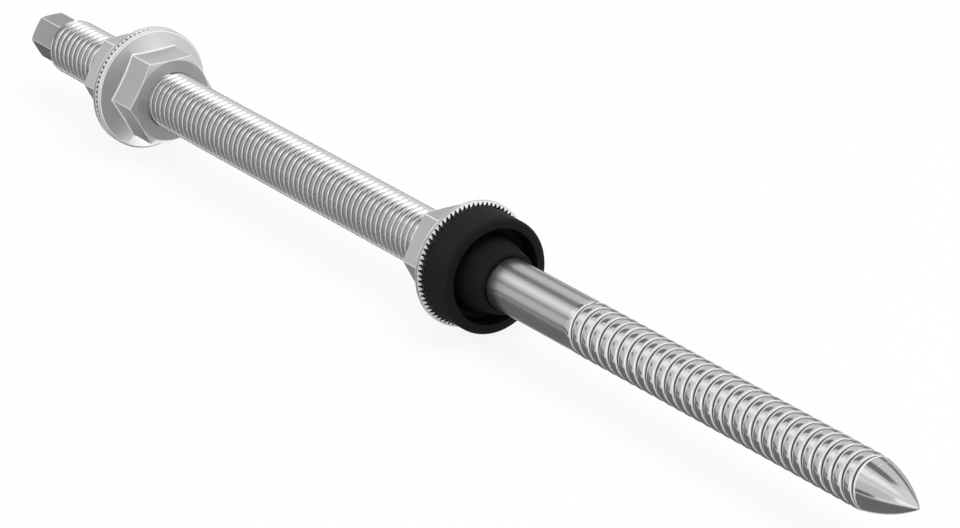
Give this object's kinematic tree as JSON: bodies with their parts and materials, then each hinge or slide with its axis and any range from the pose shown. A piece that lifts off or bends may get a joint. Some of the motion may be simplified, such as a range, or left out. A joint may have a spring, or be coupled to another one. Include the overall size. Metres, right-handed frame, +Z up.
{
  "type": "hanger bolt",
  "caption": "Hanger bolt for fixing rails on a roof: wood thread and point at one end, machine thread and hexagon drive at the other, flange nuts and a rubber sealing ring.",
  "frame": {"origin": "on the stud's axis, in the plane of the sealing ring's rim, where it meets the roof", "axes": "+X along the stud towards its point, +Z up with a flat of each nut facing up"},
  "size_m": [0.3, 0.026, 0.026],
  "materials": {
    "bright_steel": "bright rolled and polished stainless steel",
    "nut_steel": "satin cold-formed stainless steel",
    "black_rubber": "matte moulded black rubber"
  },
  "bodies": {
    "bolt": {"stud": "bright_steel"},
    "upper_nut": {"upper_flange_nut": "nut_steel"},
    "middle_nut": {"middle_flange_nut": "nut_steel"},
    "lower_nut": {"lower_flange_nut": "nut_steel"},
    "seal": {"rubber_seal": "black_rubber"}
  },
  "joints": [
    {"name": "upper_nut_travel", "type": "slide", "parent": "bolt", "child": "upper_nut", "axis": [-1, 0, 0], "range_m": [0, 0.02]},
    {"name": "middle_nut_travel", "type": "slide", "parent": "bolt", "child": "middle_nut", "axis": [1, 0, 0], "range_m": [0, 0.05]},
    {"name": "lower_nut_travel", "type": "slide", "parent": "bolt", "child": "lower_nut", "axis": [-1, 0, 0], "range_m": [0, 0.05]},
    {"name": "seal_travel", "type": "slide", "parent": "bolt", "child": "seal", "axis": [1, 0, 0], "range_m": [0, 0.0278]}
  ]
}
